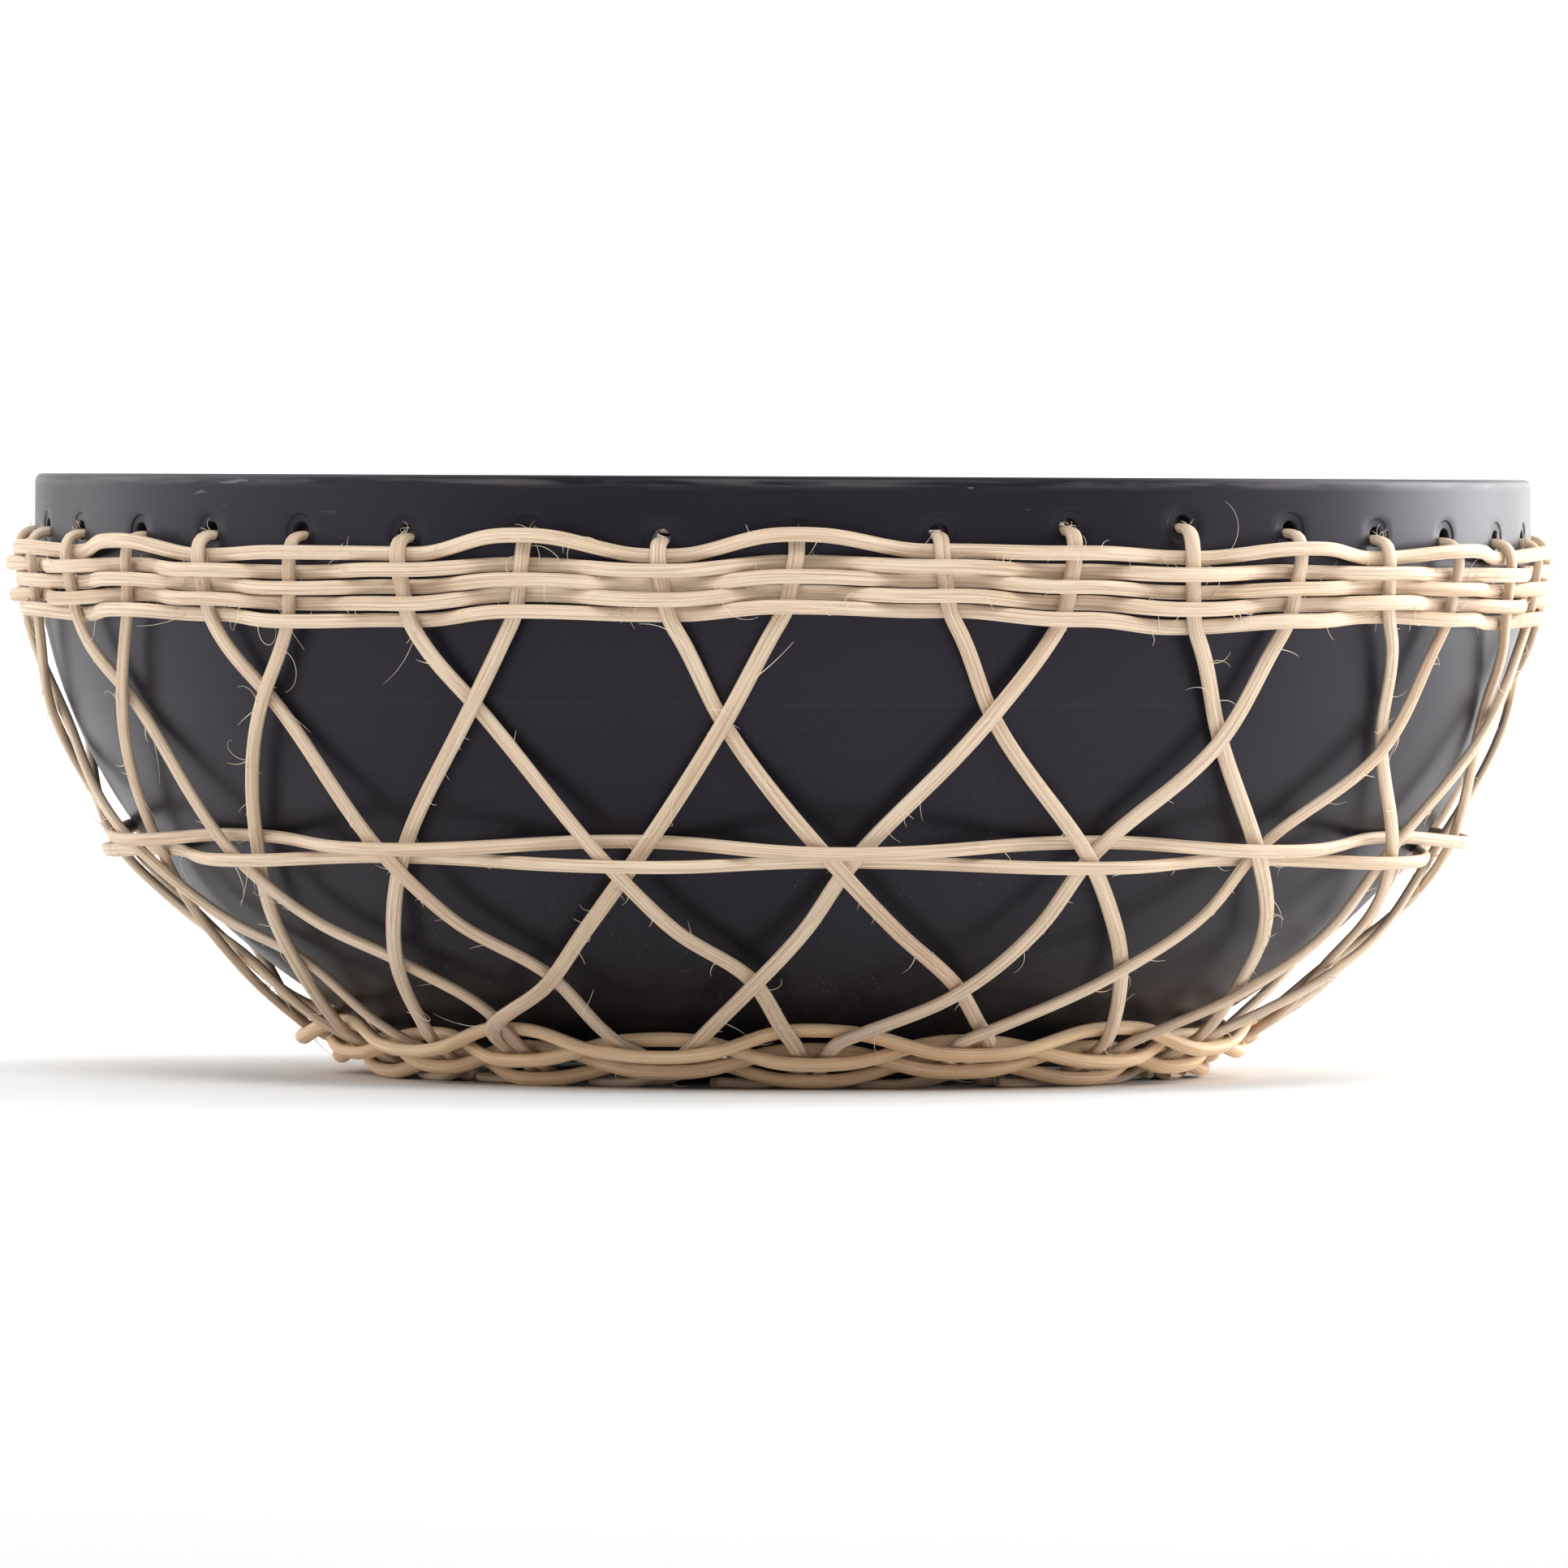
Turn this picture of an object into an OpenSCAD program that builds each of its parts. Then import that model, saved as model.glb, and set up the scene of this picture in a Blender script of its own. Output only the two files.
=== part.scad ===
// Fruit bowl in a rattan cane cage.
// A turned bowl has a ring of holes below its rim. Eighteen canes are threaded through the
// holes in pairs, so that 36 stakes hang down the outside, cross in a diamond lattice and
// turn under as the foot. Horizontal rows are woven through the stakes in three places.
// Millimetres. The origin is on the floor under the centre of the bowl, and +Z is up.
// Angles run round the bowl from the front (-Y) towards the right (+X).

/* [Bowl] */
// Outside diameter of the bowl at its rim
bowl_d = 400; // [396:1:404]
// Height of the rim above the floor
rim_z = 160; // [158:1:162]
// Height of the straight part of the wall below the rim
straight_h = 13; // [8:1:18]
// Depth of the ellipse that the wall follows below its straight part
curve_depth = 161; // [159:1:163]
// Height of the flat underside of the bowl above the floor
bottom_z = 8; // [7:0.5:9]
// Thickness of the wall
wall_t = 9; // [7:0.5:10]
// Radius that breaks the two edges of the rim
rim_round = 2; // [1:0.5:3]

/* [Holes] */
// Diameter of a cane hole
hole_d = 5; // [4.6:0.1:5.4]
// Height of the ring of holes above the floor
hole_z = 145; // [144:0.5:147]
// Diameter of the shallow spot face round a hole
spot_d = 9.5; // [8:0.5:11]
// Depth of the shallow spot face round a hole
spot_depth = 0.4; // [0.2:0.1:0.8]

/* [Cane] */
// Width of a stake
cane_w = 4.2; // [3.6:0.1:4.3]
// Width of the canes that make the rows
row_w = 3.8; // [3.4:0.1:3.9]
// Thickness of a cane
cane_t = 2.6; // [2.3:0.1:2.7]
// Width of the heavier canes that make the base rows
base_row_w = 4.2; // [3.6:0.1:4.4]
// Thickness of the canes that make the base rows
base_row_t = 3.3; // [2.6:0.1:3.4]
// Clearance between two canes that cross
cane_gap = 0.12; // [0.05:0.01:0.2]

/* [Band under the rim] */
// Height of the top row of the band
band_z = 139.6; // [139:0.1:140.2]
// Height from one row of the band to the next
band_pitch = 3.85; // [3.8:0.05:4]

/* [Middle ring] */
// Height of the upper row of the middle ring
ring_z = 64.4; // [63:0.2:66]
// Height from the upper row of the middle ring to the lower row
ring_pitch = 4.3; // [4.3:0.1:5]

/* [Base rows] */
// Radius of the outer row of the base
base_r = 126.5; // [125.5:0.5:128]
// Height of the outer row of the base
base_z = 12.4; // [12.2:0.1:13]
// Step inwards from one row of the base to the next
base_step_r = 5; // [4.9:0.1:5.2]
// Step down from one row of the base to the next
base_step_z = 2.5; // [2.3:0.1:2.6]

/* [Hidden] */
STAKES = 36;
CANES = STAKES / 2;
PITCH = 360 / STAKES;
BAND_ROWS = 5;
RING_ROWS = 2;
BASE_ROWS = 4;

function num(i) = i < 9 ? str("0", i + 1) : str(i + 1);

bowl_color = [0.15, 0.145, 0.16];
cane_color = [0.80, 0.70, 0.56];

// Small irregularities of the handwork, in whole or half degrees and millimetres.
// Angle of each hole from its even place
hole_lean = [
    1, 1.5, 1.5, 1, 1, 0.5, 0, 0, -1, 0, 1, 0, -1, 0, 1, 1, 0, -1,
    0, 1, 0, -1, -1, 0, 1, 0, 1, 2, 3, 2.5, 3, 2, 1.5, 1, 1, 1];
// Height of each hole from the ring of holes
hole_rise = [
    -0.5, 0.5, 2, 3, 1.5, 0, -0.5, -1, -1, 0, 1, 0, -0.5, 1, 2, 1, 0, -1,
    0, 2, 3, 1, 0, 0, -1, 0, 1, 1, 0.5, 0, -0.5, 0, 0, -0.5, 0, -1];
// Height of the top row and of the bottom row of the band at each stake
top_rise = [
    2.5, 1.5, 0.5, 0, 0.5, 0, -0.5, -0.5, 0, 0, 0.5, 0.5, 0, 1, 0.5, 0, 1, 0,
    0, 1, 0.5, 0, 0.5, -0.5, 0, -0.5, 1, 0.5, 0, 0, 0.5, -0.5, -0.5, 0, 1.5, 1];
foot_rise = [
    3, 2, -0.5, -2.5, -1, 0, -1, -2, -1, 0, 0, 0.5, -1, 0, 1, 0, 0.5, -1,
    0, 1, 0.5, 1, 0, -0.5, -1, 1, 0.5, -1, 0, -1, 1, -0.5, -2, -1.5, 1, 2.5];
// How far the top row of the band rises further where it passes over each even stake
top_row_hump = [3, 0.5, 2, 2, 1, 2, 0.5, 2.5, 1, 2, 0.5, 3, 1, 2, 1, 2.5, 0.5, 3.5];
// Angle and height of the first crossings below the band
high_lean = [1, 1, 0, -1, 1, 2, 0, -2, 1, 0, 2, -1, 1, 0, 3.5, 2, 1, 0.5];
high_rise = [1.5, -4, -5.5, 1, 3, -2, 0, 4, -1, 2, -3, 0, 3, -2, 3, 4, 2.5, -1.5];
// Angle and height of the crossings at the middle ring
mid_lean = [2, -0.5, 0.5, 1, 0, 2, -1, 0, 1, -2, 0, 1, 3, 4, 2.5, 0.5, 1.5, 0.5];
mid_rise = [2, 2.5, 0, -2, 1, 2, -1, 1, 0, -2, 1, 2, 0, -1, -2, 0.5, -2, -1];
// Angle and height of the crossings above the base
low_lean = [0.5, 1.5, 0, 1, -1, 2, 0, 1, -2, 0, 2, 4, 6, 5.5, 2.8, 0.5, 2, 3.4];
low_rise = [4.5, -2, 2, -1, 3, 0, 2, -2, 1, 3, 0, -1, 2, 1.5, 2.5, 0, -0.5, -2];
// Angle at which two stakes meet at the base
base_lean = [0, -3, 1, -1, 2, 0, -2, 1, 0, 1, 3, 5, 8, 5.5, 0.3, 0.2, -0.9, -1.5];
// Half the angle between the two stakes of each pair where they reach the base. It is below
// zero where they have crossed once more.
base_spread = [2.5, 1.5, 1.2, 3, 2, -1.2, 3.5, 2, 1.2, 3, -1.2, 2, 1.2, 3, -1.2, 4.8, 2.6, -2];

// Crossings: even angle of the first one in each row of crossings, and its height
high_start = 15;
high_z = 98;
mid_start = 25;
mid_z = 58.5;
low_start = 35;
low_z = 29;
base_start = 45;
cage_shift = 2.6;
// How far round a stake has come halfway down between its two lower crossings, and how much
// further it has come on the side that it leans away from
way_share = 0.4;
way_share_sides = 0.16;

bowl_r = bowl_d / 2;
curve_top = rim_z - straight_h;
layer = cane_t + cane_gap;
inner_layer = 0.15 + cane_t / 2;
stake_layer = inner_layer + layer;
base_layer = (cane_t + base_row_t) / 2 + cane_gap;
inner_r = bowl_r - wall_t;
loop_r = inner_r - 2.8;
bend_r = 3;
band_half = 1.5;
ring_half = 2.5;
base_half = 3;
pair_half = 1.2;
base_tilt = 63;
ring_stake_layer = inner_layer + 1.5 * layer + 0.3;
hole_drop = sqrt(pow(hole_d / 2, 2) - pow(cane_w / 4, 2)) - cane_t / 2 - 0.06;

// The bowl's outside: radius at a height, and how far its outward normal tips down
function wall_r(z) = z >= curve_top ? bowl_r
    : bowl_r * sqrt(1 - pow((curve_top - z) / curve_depth, 2));
function wall_tilt(z) = z >= curve_top ? 0
    : atan2((curve_top - z) / pow(curve_depth, 2), wall_r(z) / pow(bowl_r, 2));

// Distance of the stakes' middle layer from the bowl, along its normal. Low down, the cage
// sits a little to the right of the bowl.
function stake_off(z) = lookup(z, [
    [low_z, 6.2], [mid_z, ring_stake_layer], [high_z, 3.4], [band_z - 17, stake_layer]]);
function cage_r(z, a) = wall_r(z) + stake_off(z) / cos(wall_tilt(z))
    + lookup(z, [[low_z + 10, cage_shift], [mid_z + 2, 0]]) * sin(a);

// A station on a cane: angle, radius, height, tip of its outer face, and layer in or out
function place(s) = let (r = s[1] + s[4] * cos(s[3]))
    [r * sin(s[0]), -r * cos(s[0]), s[2] - s[4] * sin(s[3])];
function face(s) = [cos(s[3]) * sin(s[0]), -cos(s[3]) * cos(s[0]), -sin(s[3])];

// A smooth curve through stations, with n steps in each span from the first to the last
function span(p, i) = norm(place(p[i + 1]) - place(p[i]));
function slope(p, i) = let (
    back = i > 0 ? span(p, i - 1) : 0,
    ahead = i < len(p) - 1 ? span(p, i) : 0)
    i == 0 ? (p[1] - p[0]) / ahead
    : i == len(p) - 1 ? (p[i] - p[i - 1]) / back
    : ((p[i] - p[i - 1]) / back * ahead + (p[i + 1] - p[i]) / ahead * back) / (back + ahead);
function curve_at(a, b, slope_a, slope_b, h, t) =
    (1 + 2 * t) * pow(1 - t, 2) * a + t * pow(1 - t, 2) * h * slope_a
    + t * t * (3 - 2 * t) * b + t * t * (t - 1) * h * slope_b;
function smooth(p, first, last, n) = let (m = len(p)) [
    for (i = [0 : m - 2]) let (steps = i >= first && i < last ? n : 1)
        for (j = [0 : steps - 1])
            curve_at(p[i], p[i + 1], slope(p, i), slope(p, i + 1), span(p, i), j / steps),
    p[m - 1]];

// The six corners of a cane's flattened section, and its rings along a route
function unit(v) = v / norm(v);
section = [[0.5, 0], [0.25, 0.5], [-0.25, 0.5], [-0.5, 0], [-0.25, -0.5], [0.25, -0.5]];
SIDES = len(section);
function ring(p, dir, up, w, t) = let (
    n = unit(up - (up * dir) * dir),
    side = cross(dir, n))
    [for (c = section) p + c[0] * w * side + c[1] * t * n];
function rings(s, w, t, closed) = let (m = len(s)) [
    for (i = [0 : m - 1]) let (
        back = closed ? (i + m - 1) % m : max(i - 1, 0),
        ahead = closed ? (i + 1) % m : min(i + 1, m - 1))
        ring(place(s[i]), unit(place(s[ahead]) - place(s[back])), face(s[i]), w, t)];

// One solid cane along a list of stations, closed into a hoop or with two cut ends
module cane(s, w, t, closed) {
    m = len(s);
    spans = closed ? m : m - 1;
    corners = [for (r = rings(s, w, t, closed)) each r];
    walls = [
        for (i = [0 : spans - 1])
            for (j = [0 : SIDES - 1]) let (
                a = i * SIDES + j,
                b = i * SIDES + (j + 1) % SIDES,
                c = ((i + 1) % m) * SIDES + j,
                d = ((i + 1) % m) * SIDES + (j + 1) % SIDES)
                each [[a, c, b], [b, c, d]]];
    ends = closed ? [] : [
        [for (j = [0 : SIDES - 1]) j],
        [for (j = [SIDES - 1 : -1 : 0]) (m - 1) * SIDES + j]];
    color(cane_color) polyhedron(points = corners, faces = concat(walls, ends), convexity = 8);
}

// Where stakes and crossings are
function wrap(i, m) = ((i % m) + m) % m;
function stake_angle(k) = PITCH * k + hole_lean[wrap(k, STAKES)];
function stake_hole_z(k) = hole_z + hole_rise[wrap(k, STAKES)];
function node_angle(j, start, lean) = 2 * PITCH * j + start + lean[wrap(j, CANES)];
// A row that passes behind a stake stays below the stake's hole, and two rows never overlap
function band_row_z(i, k) = let (
    below_hole = stake_hole_z(k) - hole_drop - (cane_t + row_w) / 2 - 0.1,
    wanted = band_z + top_rise[wrap(k, STAKES)],
    top = k % 2 == 0 ? wanted : min(wanted, below_hole),
    foot = band_z - (BAND_ROWS - 1) * band_pitch + foot_rise[wrap(k, STAKES)])
    top - i * max(row_w + 0.05, (top - foot) / (BAND_ROWS - 1));

// Number of the crossing that a stake meets at each level, counted from the stake's side
function meets(k, level) = k % 2 == 1 ? (k - 1) / 2 : k / 2 - level;

// A stake's stations from the hole's mouth inside the bowl down to its cut end.
// Odd stakes run down to the right, and even ones down to the left.
function hole_part(a, z) = [
    [a, inner_r, z, -90, 0],
    [a, bowl_r - 0.5, z, -90, 0],
    [a, bowl_r + stake_layer - bend_r, z, -78, 0],
    [a, bowl_r + stake_layer - 0.3 * bend_r, z - 0.3 * bend_r, -45, 0]];
function band_part(k, a, z, dir) = let (
    mid = band_row_z(2, k),
    low = band_row_z(BAND_ROWS - 1, k) - 1) [
    [a, bowl_r + stake_layer, z - bend_r - 0.6, -8, 0],
    [a + 0.3 * dir, wall_r(mid) + stake_layer / cos(wall_tilt(mid)), mid, wall_tilt(mid), 0],
    [a + 0.8 * dir, cage_r(low, a), low, wall_tilt(low), 0]];
function lattice_part(k, a, dir) = let (
    start = band_row_z(BAND_ROWS - 1, k) - 6,
    j1 = meets(k, 1),
    j2 = meets(k, 2),
    j3 = meets(k, 3),
    z1 = high_z + high_rise[wrap(j1, CANES)],
    z2 = mid_z + mid_rise[wrap(j2, CANES)],
    z3 = low_z + low_rise[wrap(j3, CANES)],
    z_between = (z2 + z3) / 2,
    a1 = node_angle(j1, high_start, high_lean),
    a2 = node_angle(j2, mid_start, mid_lean),
    a3 = node_angle(j3, low_start, low_lean),
    a_between = a2 + (a3 - a2) * (way_share + way_share_sides * dir * sin(a2)),
    a4 = base_angle(k, dir, 0),
    r3 = cage_r(z3, a3),
    half = (layer + 0.25) / 2 * dir,
    j4 = meets(k, 4),
    near = crossed(j4) ? 0.25 : 0.18,
    a_near = crossed(j4) ? node_angle(j4, base_start, base_lean) : a4 + (a3 - a4) * near) [
    [a + 1.6 * dir, cage_r(start, a), start, wall_tilt(start), 0],
    [a1, cage_r(z1, a1), z1, wall_tilt(z1), -half],
    [a2, cage_r(z2, a2), z2, wall_tilt(z2), half],
    [a_between, cage_r(z_between, a2), z_between, wall_tilt(z_between), 0],
    [a3, r3, z3, wall_tilt(z3), -half],
    [a_near, base_r + (r3 - base_r) * near, base_z + (z3 - base_z) * (near - 0.03),
        base_tilt - 4, crossed(j4) ? -1.15 * half : 0]];
// The two stakes of a pair close up as they pass the rows of the base
function crossed(j) = base_spread[wrap(j, CANES)] < 0;
function pair_gap(j, i) = pair_half
    + pow(1 - i / (BASE_ROWS - 1), 1.5) * (abs(base_spread[wrap(j, CANES)]) - pair_half);
function base_angle(k, dir, i) = let (j = meets(k, 4))
    node_angle(j, base_start, base_lean) - dir * (crossed(j) ? -1 : 1) * pair_gap(j, i);
function base_part(k, dir) = [
    for (i = [0 : BASE_ROWS - 1])
        [base_angle(k, dir, i), base_r - i * base_step_r, base_z - i * base_step_z, base_tilt, 0]];
// Both stakes of a pair turn under to the left and lie side by side as the foot
function foot_part(k, dir) = let (
    a = node_angle(meets(k, 4), base_start, base_lean),
    inside = (dir < 0) != crossed(meets(k, 4)) ? 1 : 0,
    floor_z = cane_t / 2,
    foot_r = base_r - 19.4 - inside * (cane_w + 0.4)) [
    [a - 1.6 + inside * 2.4, foot_r + 1.9 + inside * 3.1, 3.9, 72, 0],
    [a - 4 + inside * 2.4, foot_r + 0.5 + inside * 1.3, 2.1, 84, 0],
    [a - 6.5, foot_r, floor_z, 90, 0],
    [a - 10, foot_r - 0.2, floor_z, 90, 0],
    [a - 12.8 - inside * 1.4, foot_r - 0.8 - inside * 0.6, floor_z + 0.2, 91, 0]];

function leg(k) = let (
    dir = k % 2 == 1 ? 1 : -1,
    a = stake_angle(k),
    z = stake_hole_z(k) - hole_drop,
    lattice = len(hole_part(a, z)) + len(band_part(k, a, z, dir)))
    smooth(concat(
        hole_part(a, z),
        band_part(k, a, z, dir),
        lattice_part(k, a, dir),
        base_part(k, dir),
        foot_part(k, dir)), lattice, lattice + 5, 3);

// The short loop inside the bowl, from one hole to the next
function loop_part(k) = let (
    a = stake_angle(k),
    b = stake_angle(k + 1),
    za = stake_hole_z(k) - hole_drop,
    zb = stake_hole_z(k + 1) - hole_drop,
    turn = asin(bend_r / inner_r)) [
    [a + 0.3 * turn, loop_r + 0.3 * bend_r, za, -135, 0],
    [a + turn, loop_r, za, -175, 0],
    [(a + b) / 2, loop_r + 0.3, (za + zb) / 2, -180, 0],
    [b - turn, loop_r, zb, -175, 0],
    [b - 0.3 * turn, loop_r + 0.3 * bend_r, zb, -135, 0]];

function backwards(p) = [for (i = [len(p) - 1 : -1 : 0]) p[i]];

module stake_cane(i) {
    k = 2 * i;
    cane(concat(backwards(leg(k)), loop_part(k), leg(k + 1)), cane_w, cane_t, false);
}

// A row of the band passes over every second stake and under the others
module band_row(i) {
    cane([
        for (k = [0 : STAKES - 1]) let (
            over = (i + k) % 2 == 0,
            z = band_row_z(i, k) + (i == 0 && over ? top_row_hump[k / 2] : 0),
            off = stake_layer + (over ? layer : -layer),
            tilt = wall_tilt(z))
            for (side = [-1, 1])
                [stake_angle(k) + side * band_half, wall_r(z) + off / cos(tilt), z, tilt, 0]],
        row_w, cane_t, true);
}

// A row of the middle ring: in and out at each crossing, with two steps between crossings
module middle_ring_row(i) {
    stations = [
        for (j = [0 : CANES - 1]) let (
            over = (i + j) % 2 == 1,
            a = node_angle(j, mid_start, mid_lean),
            z = ring_z - i * ring_pitch + (over ? -1 : 1) * (i == 0 ? 1.2 : 0.8),
            off = over ? ring_stake_layer + 1.5 * layer : inner_layer)
            for (side = [-1, 1])
                [a + side * ring_half, wall_r(z) + off / cos(wall_tilt(z)), z, wall_tilt(z), 0]];
    cane(with_steps(stations), row_w, cane_t, true);
}

// A row of the base: in and out at each pair of stakes, with two steps between pairs
module base_row(i) {
    stations = [
        for (j = [0 : CANES - 1]) let (
            over = (i + j) % 2 == 1,
            a = node_angle(j, base_start, base_lean),
            half = base_half - pair_half + pair_gap(j, i))
            for (side = [-1, 1])
                [a + side * half, base_r - i * base_step_r, base_z - i * base_step_z,
                    base_tilt, over ? base_layer : -base_layer]];
    cane(with_steps(stations), base_row_w, base_row_t, true);
}

// Adds two even steps after every second station, up to the next crossing's first one
function with_steps(p) = let (m = len(p)) [
    for (i = [0 : m - 1]) let (
        next = p[(i + 1) % m] + (i == m - 1 ? [360, 0, 0, 0, 0] : [0, 0, 0, 0, 0]))
        each i % 2 == 0 ? [p[i]] : [p[i], (2 * p[i] + next) / 3, (p[i] + 2 * next) / 3]];

// Half of the bowl's section: outside curve, rounded rim, inside curve
function outer_curve() = [
    for (i = [0 : 30]) let (z = bottom_z + (curve_top - bottom_z) * (1 - pow(1 - i / 30, 2)))
        [wall_r(z), z]];
function rim_arc(r, from) = [
    for (i = [0 : 4]) let (t = from + 90 * i / 4)
        [r + rim_round * cos(t), rim_z - rim_round + rim_round * sin(t)]];
function inner_curve() = let (floor_in = bottom_z + wall_t) [
    for (i = [0 : 30]) let (z = curve_top - (curve_top - floor_in) * (1 - pow(1 - i / 30, 2)))
        [inner_r * sqrt(1 - pow((curve_top - z) / (curve_depth - wall_t), 2)), z]];

module bowl() {
    color(bowl_color) difference() {
        rotate_extrude($fn = 180) polygon(concat(
            [[0, bottom_z]],
            outer_curve(),
            rim_arc(bowl_r - rim_round, 0),
            rim_arc(inner_r + rim_round, 90),
            inner_curve(),
            [[0, bottom_z + wall_t]]));
        for (k = [0 : STAKES - 1])
            rotate([0, 0, stake_angle(k)]) translate([0, 0, stake_hole_z(k)]) {
                translate([0, 5 - bowl_r + wall_t, 0])
                    rotate([90, 0, 0]) cylinder(d = hole_d, h = wall_t + 10, $fn = 24);
                translate([0, spot_depth - bowl_r, 0])
                    rotate([90, 0, 0]) cylinder(d = spot_d, h = 5, $fn = 32);
            }
    }
}

bowl();
for (i = [0 : CANES - 1])
    stake_cane(i);
for (i = [0 : BAND_ROWS - 1])
    band_row(i);
for (i = [0 : RING_ROWS - 1])
    middle_ring_row(i);
for (i = [0 : BASE_ROWS - 1])
    base_row(i);
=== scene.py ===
"""A black fruit bowl in a rattan cane cage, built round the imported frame.

Lengths in the route functions are millimetres, as in the design; MM turns them to metres.
Angles are degrees round the bowl from the front (-Y) towards the right (+X).
A station on a cane is (angle, radius, height, tilt of the outer face, shift out of its layer).
"""
import math

import bpy
import numpy as np
from mathutils import Matrix, Vector


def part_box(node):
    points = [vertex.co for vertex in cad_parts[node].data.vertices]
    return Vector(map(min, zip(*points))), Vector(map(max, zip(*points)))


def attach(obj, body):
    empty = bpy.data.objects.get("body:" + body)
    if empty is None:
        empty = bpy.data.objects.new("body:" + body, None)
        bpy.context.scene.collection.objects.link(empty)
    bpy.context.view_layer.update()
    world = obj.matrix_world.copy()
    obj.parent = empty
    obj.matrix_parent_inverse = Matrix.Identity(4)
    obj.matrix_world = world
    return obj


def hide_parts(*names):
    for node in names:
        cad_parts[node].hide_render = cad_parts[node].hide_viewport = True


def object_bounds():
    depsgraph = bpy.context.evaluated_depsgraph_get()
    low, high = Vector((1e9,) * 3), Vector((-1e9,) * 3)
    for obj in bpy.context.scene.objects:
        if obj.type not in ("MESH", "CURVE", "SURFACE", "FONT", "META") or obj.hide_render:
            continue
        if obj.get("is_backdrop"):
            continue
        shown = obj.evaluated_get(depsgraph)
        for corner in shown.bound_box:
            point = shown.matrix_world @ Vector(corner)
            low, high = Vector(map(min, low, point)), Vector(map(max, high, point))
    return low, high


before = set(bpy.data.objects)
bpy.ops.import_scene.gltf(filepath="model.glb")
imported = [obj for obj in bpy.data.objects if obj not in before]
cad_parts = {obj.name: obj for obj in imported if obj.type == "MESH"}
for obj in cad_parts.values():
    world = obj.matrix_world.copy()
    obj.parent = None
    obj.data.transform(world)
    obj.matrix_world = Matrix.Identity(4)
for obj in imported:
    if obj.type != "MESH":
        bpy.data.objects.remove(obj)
CAD_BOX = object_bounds()
MM = 0.001

# ---------------------------------------------------------------- the bowl's main sizes
BOWL_LOW, BOWL_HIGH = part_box("bowl")
BOWL_R = BOWL_HIGH[0] / MM
RIM_Z = BOWL_HIGH[2] / MM
BOTTOM_Z = BOWL_LOW[2] / MM
RIM_ROUND = 2.0
STRAIGHT_H = 13.0
CURVE_DEPTH = 161.0
CURVE_TOP = RIM_Z - STRAIGHT_H
WALL_T = 9.0
INNER_R = BOWL_R - WALL_T
INNER_FLOOR_Z = BOTTOM_Z + WALL_T
HOLE_Z = 145.0
HOLE_R = 2.5
SPOT_R = 4.75
# The strip of wall that holds the holes has a mesh of its own, between these heights
STRIP_LOW = HOLE_Z - 7.5
STRIP_HIGH = HOLE_Z + 12.5
STRIP_ACROSS = 10
STRIP_TALL = 14

# ---------------------------------------------------------------- the canes' sizes
STAKES = 36
CANES = STAKES // 2
PITCH = 360.0 / STAKES
BAND_ROWS = 5
RING_ROWS = 2
BASE_ROWS = 4
CANE_W = 4.2
ROW_W = 3.8
CANE_T = 2.6
BASE_ROW_W = 4.2
BASE_ROW_T = 3.3

# ---------------------------------------------------------------- where the canes run
# Distances out from the wall to the middle of each layer of cane
GAP = 0.12
LAYER = CANE_T + GAP
INNER_LAYER = 0.15 + CANE_T / 2
STAKE_LAYER = INNER_LAYER + LAYER
BASE_LAYER = (CANE_T + BASE_ROW_T) / 2 + GAP
RING_STAKE_LAYER = INNER_LAYER + 1.5 * LAYER + 0.3
HIGH_STAKE_LAYER = 3.4
LOW_STAKE_LAYER = 6.2
# Extra room between two stakes that cross
CROSS_GAP = 0.25
# How far a stake lies below the middle of its hole, resting on the hole's lower edge
HOLE_DROP = math.sqrt(HOLE_R**2 - (CANE_W / 4) ** 2) - CANE_T / 2 - 0.06
BAND_Z = 139.6
BAND_PITCH = 3.85
UNDER_BAND_Z = BAND_Z - 17
RING_Z = 64.4
RING_PITCH = 4.3
BASE_R = 126.5
BASE_Z = 12.4
BASE_STEP_R = 5.0
BASE_STEP_Z = 2.5
BASE_TILT = 63.0
BEND_R = 3.0
LOOP_R = INNER_R - 2.8
# Half the angle between two stakes that lie side by side
PAIR_HALF = 1.2
# Half the angle over which a row stays in its layer at a stake, a crossing or a close pair
BAND_HALF = 1.5
RING_HALF = 2.5
BASE_HALF = 3.0
# How far the turned-under ends lie inside the base rows
FOOT_IN = 19.4

# Irregularities of the handwork, in degrees and millimetres, the same as the design's.
# The first four lists go stake by stake, and the others crossing by crossing.
HOLE_LEAN = [
    1, 1.5, 1.5, 1, 1, 0.5, 0, 0, -1, 0, 1, 0, -1, 0, 1, 1, 0, -1,
    0, 1, 0, -1, -1, 0, 1, 0, 1, 2, 3, 2.5, 3, 2, 1.5, 1, 1, 1]
HOLE_RISE = [
    -0.5, 0.5, 2, 3, 1.5, 0, -0.5, -1, -1, 0, 1, 0, -0.5, 1, 2, 1, 0, -1,
    0, 2, 3, 1, 0, 0, -1, 0, 1, 1, 0.5, 0, -0.5, 0, 0, -0.5, 0, -1]
TOP_RISE = [
    2.5, 1.5, 0.5, 0, 0.5, 0, -0.5, -0.5, 0, 0, 0.5, 0.5, 0, 1, 0.5, 0, 1, 0,
    0, 1, 0.5, 0, 0.5, -0.5, 0, -0.5, 1, 0.5, 0, 0, 0.5, -0.5, -0.5, 0, 1.5, 1]
FOOT_RISE = [
    3, 2, -0.5, -2.5, -1, 0, -1, -2, -1, 0, 0, 0.5, -1, 0, 1, 0, 0.5, -1,
    0, 1, 0.5, 1, 0, -0.5, -1, 1, 0.5, -1, 0, -1, 1, -0.5, -2, -1.5, 1, 2.5]
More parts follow.
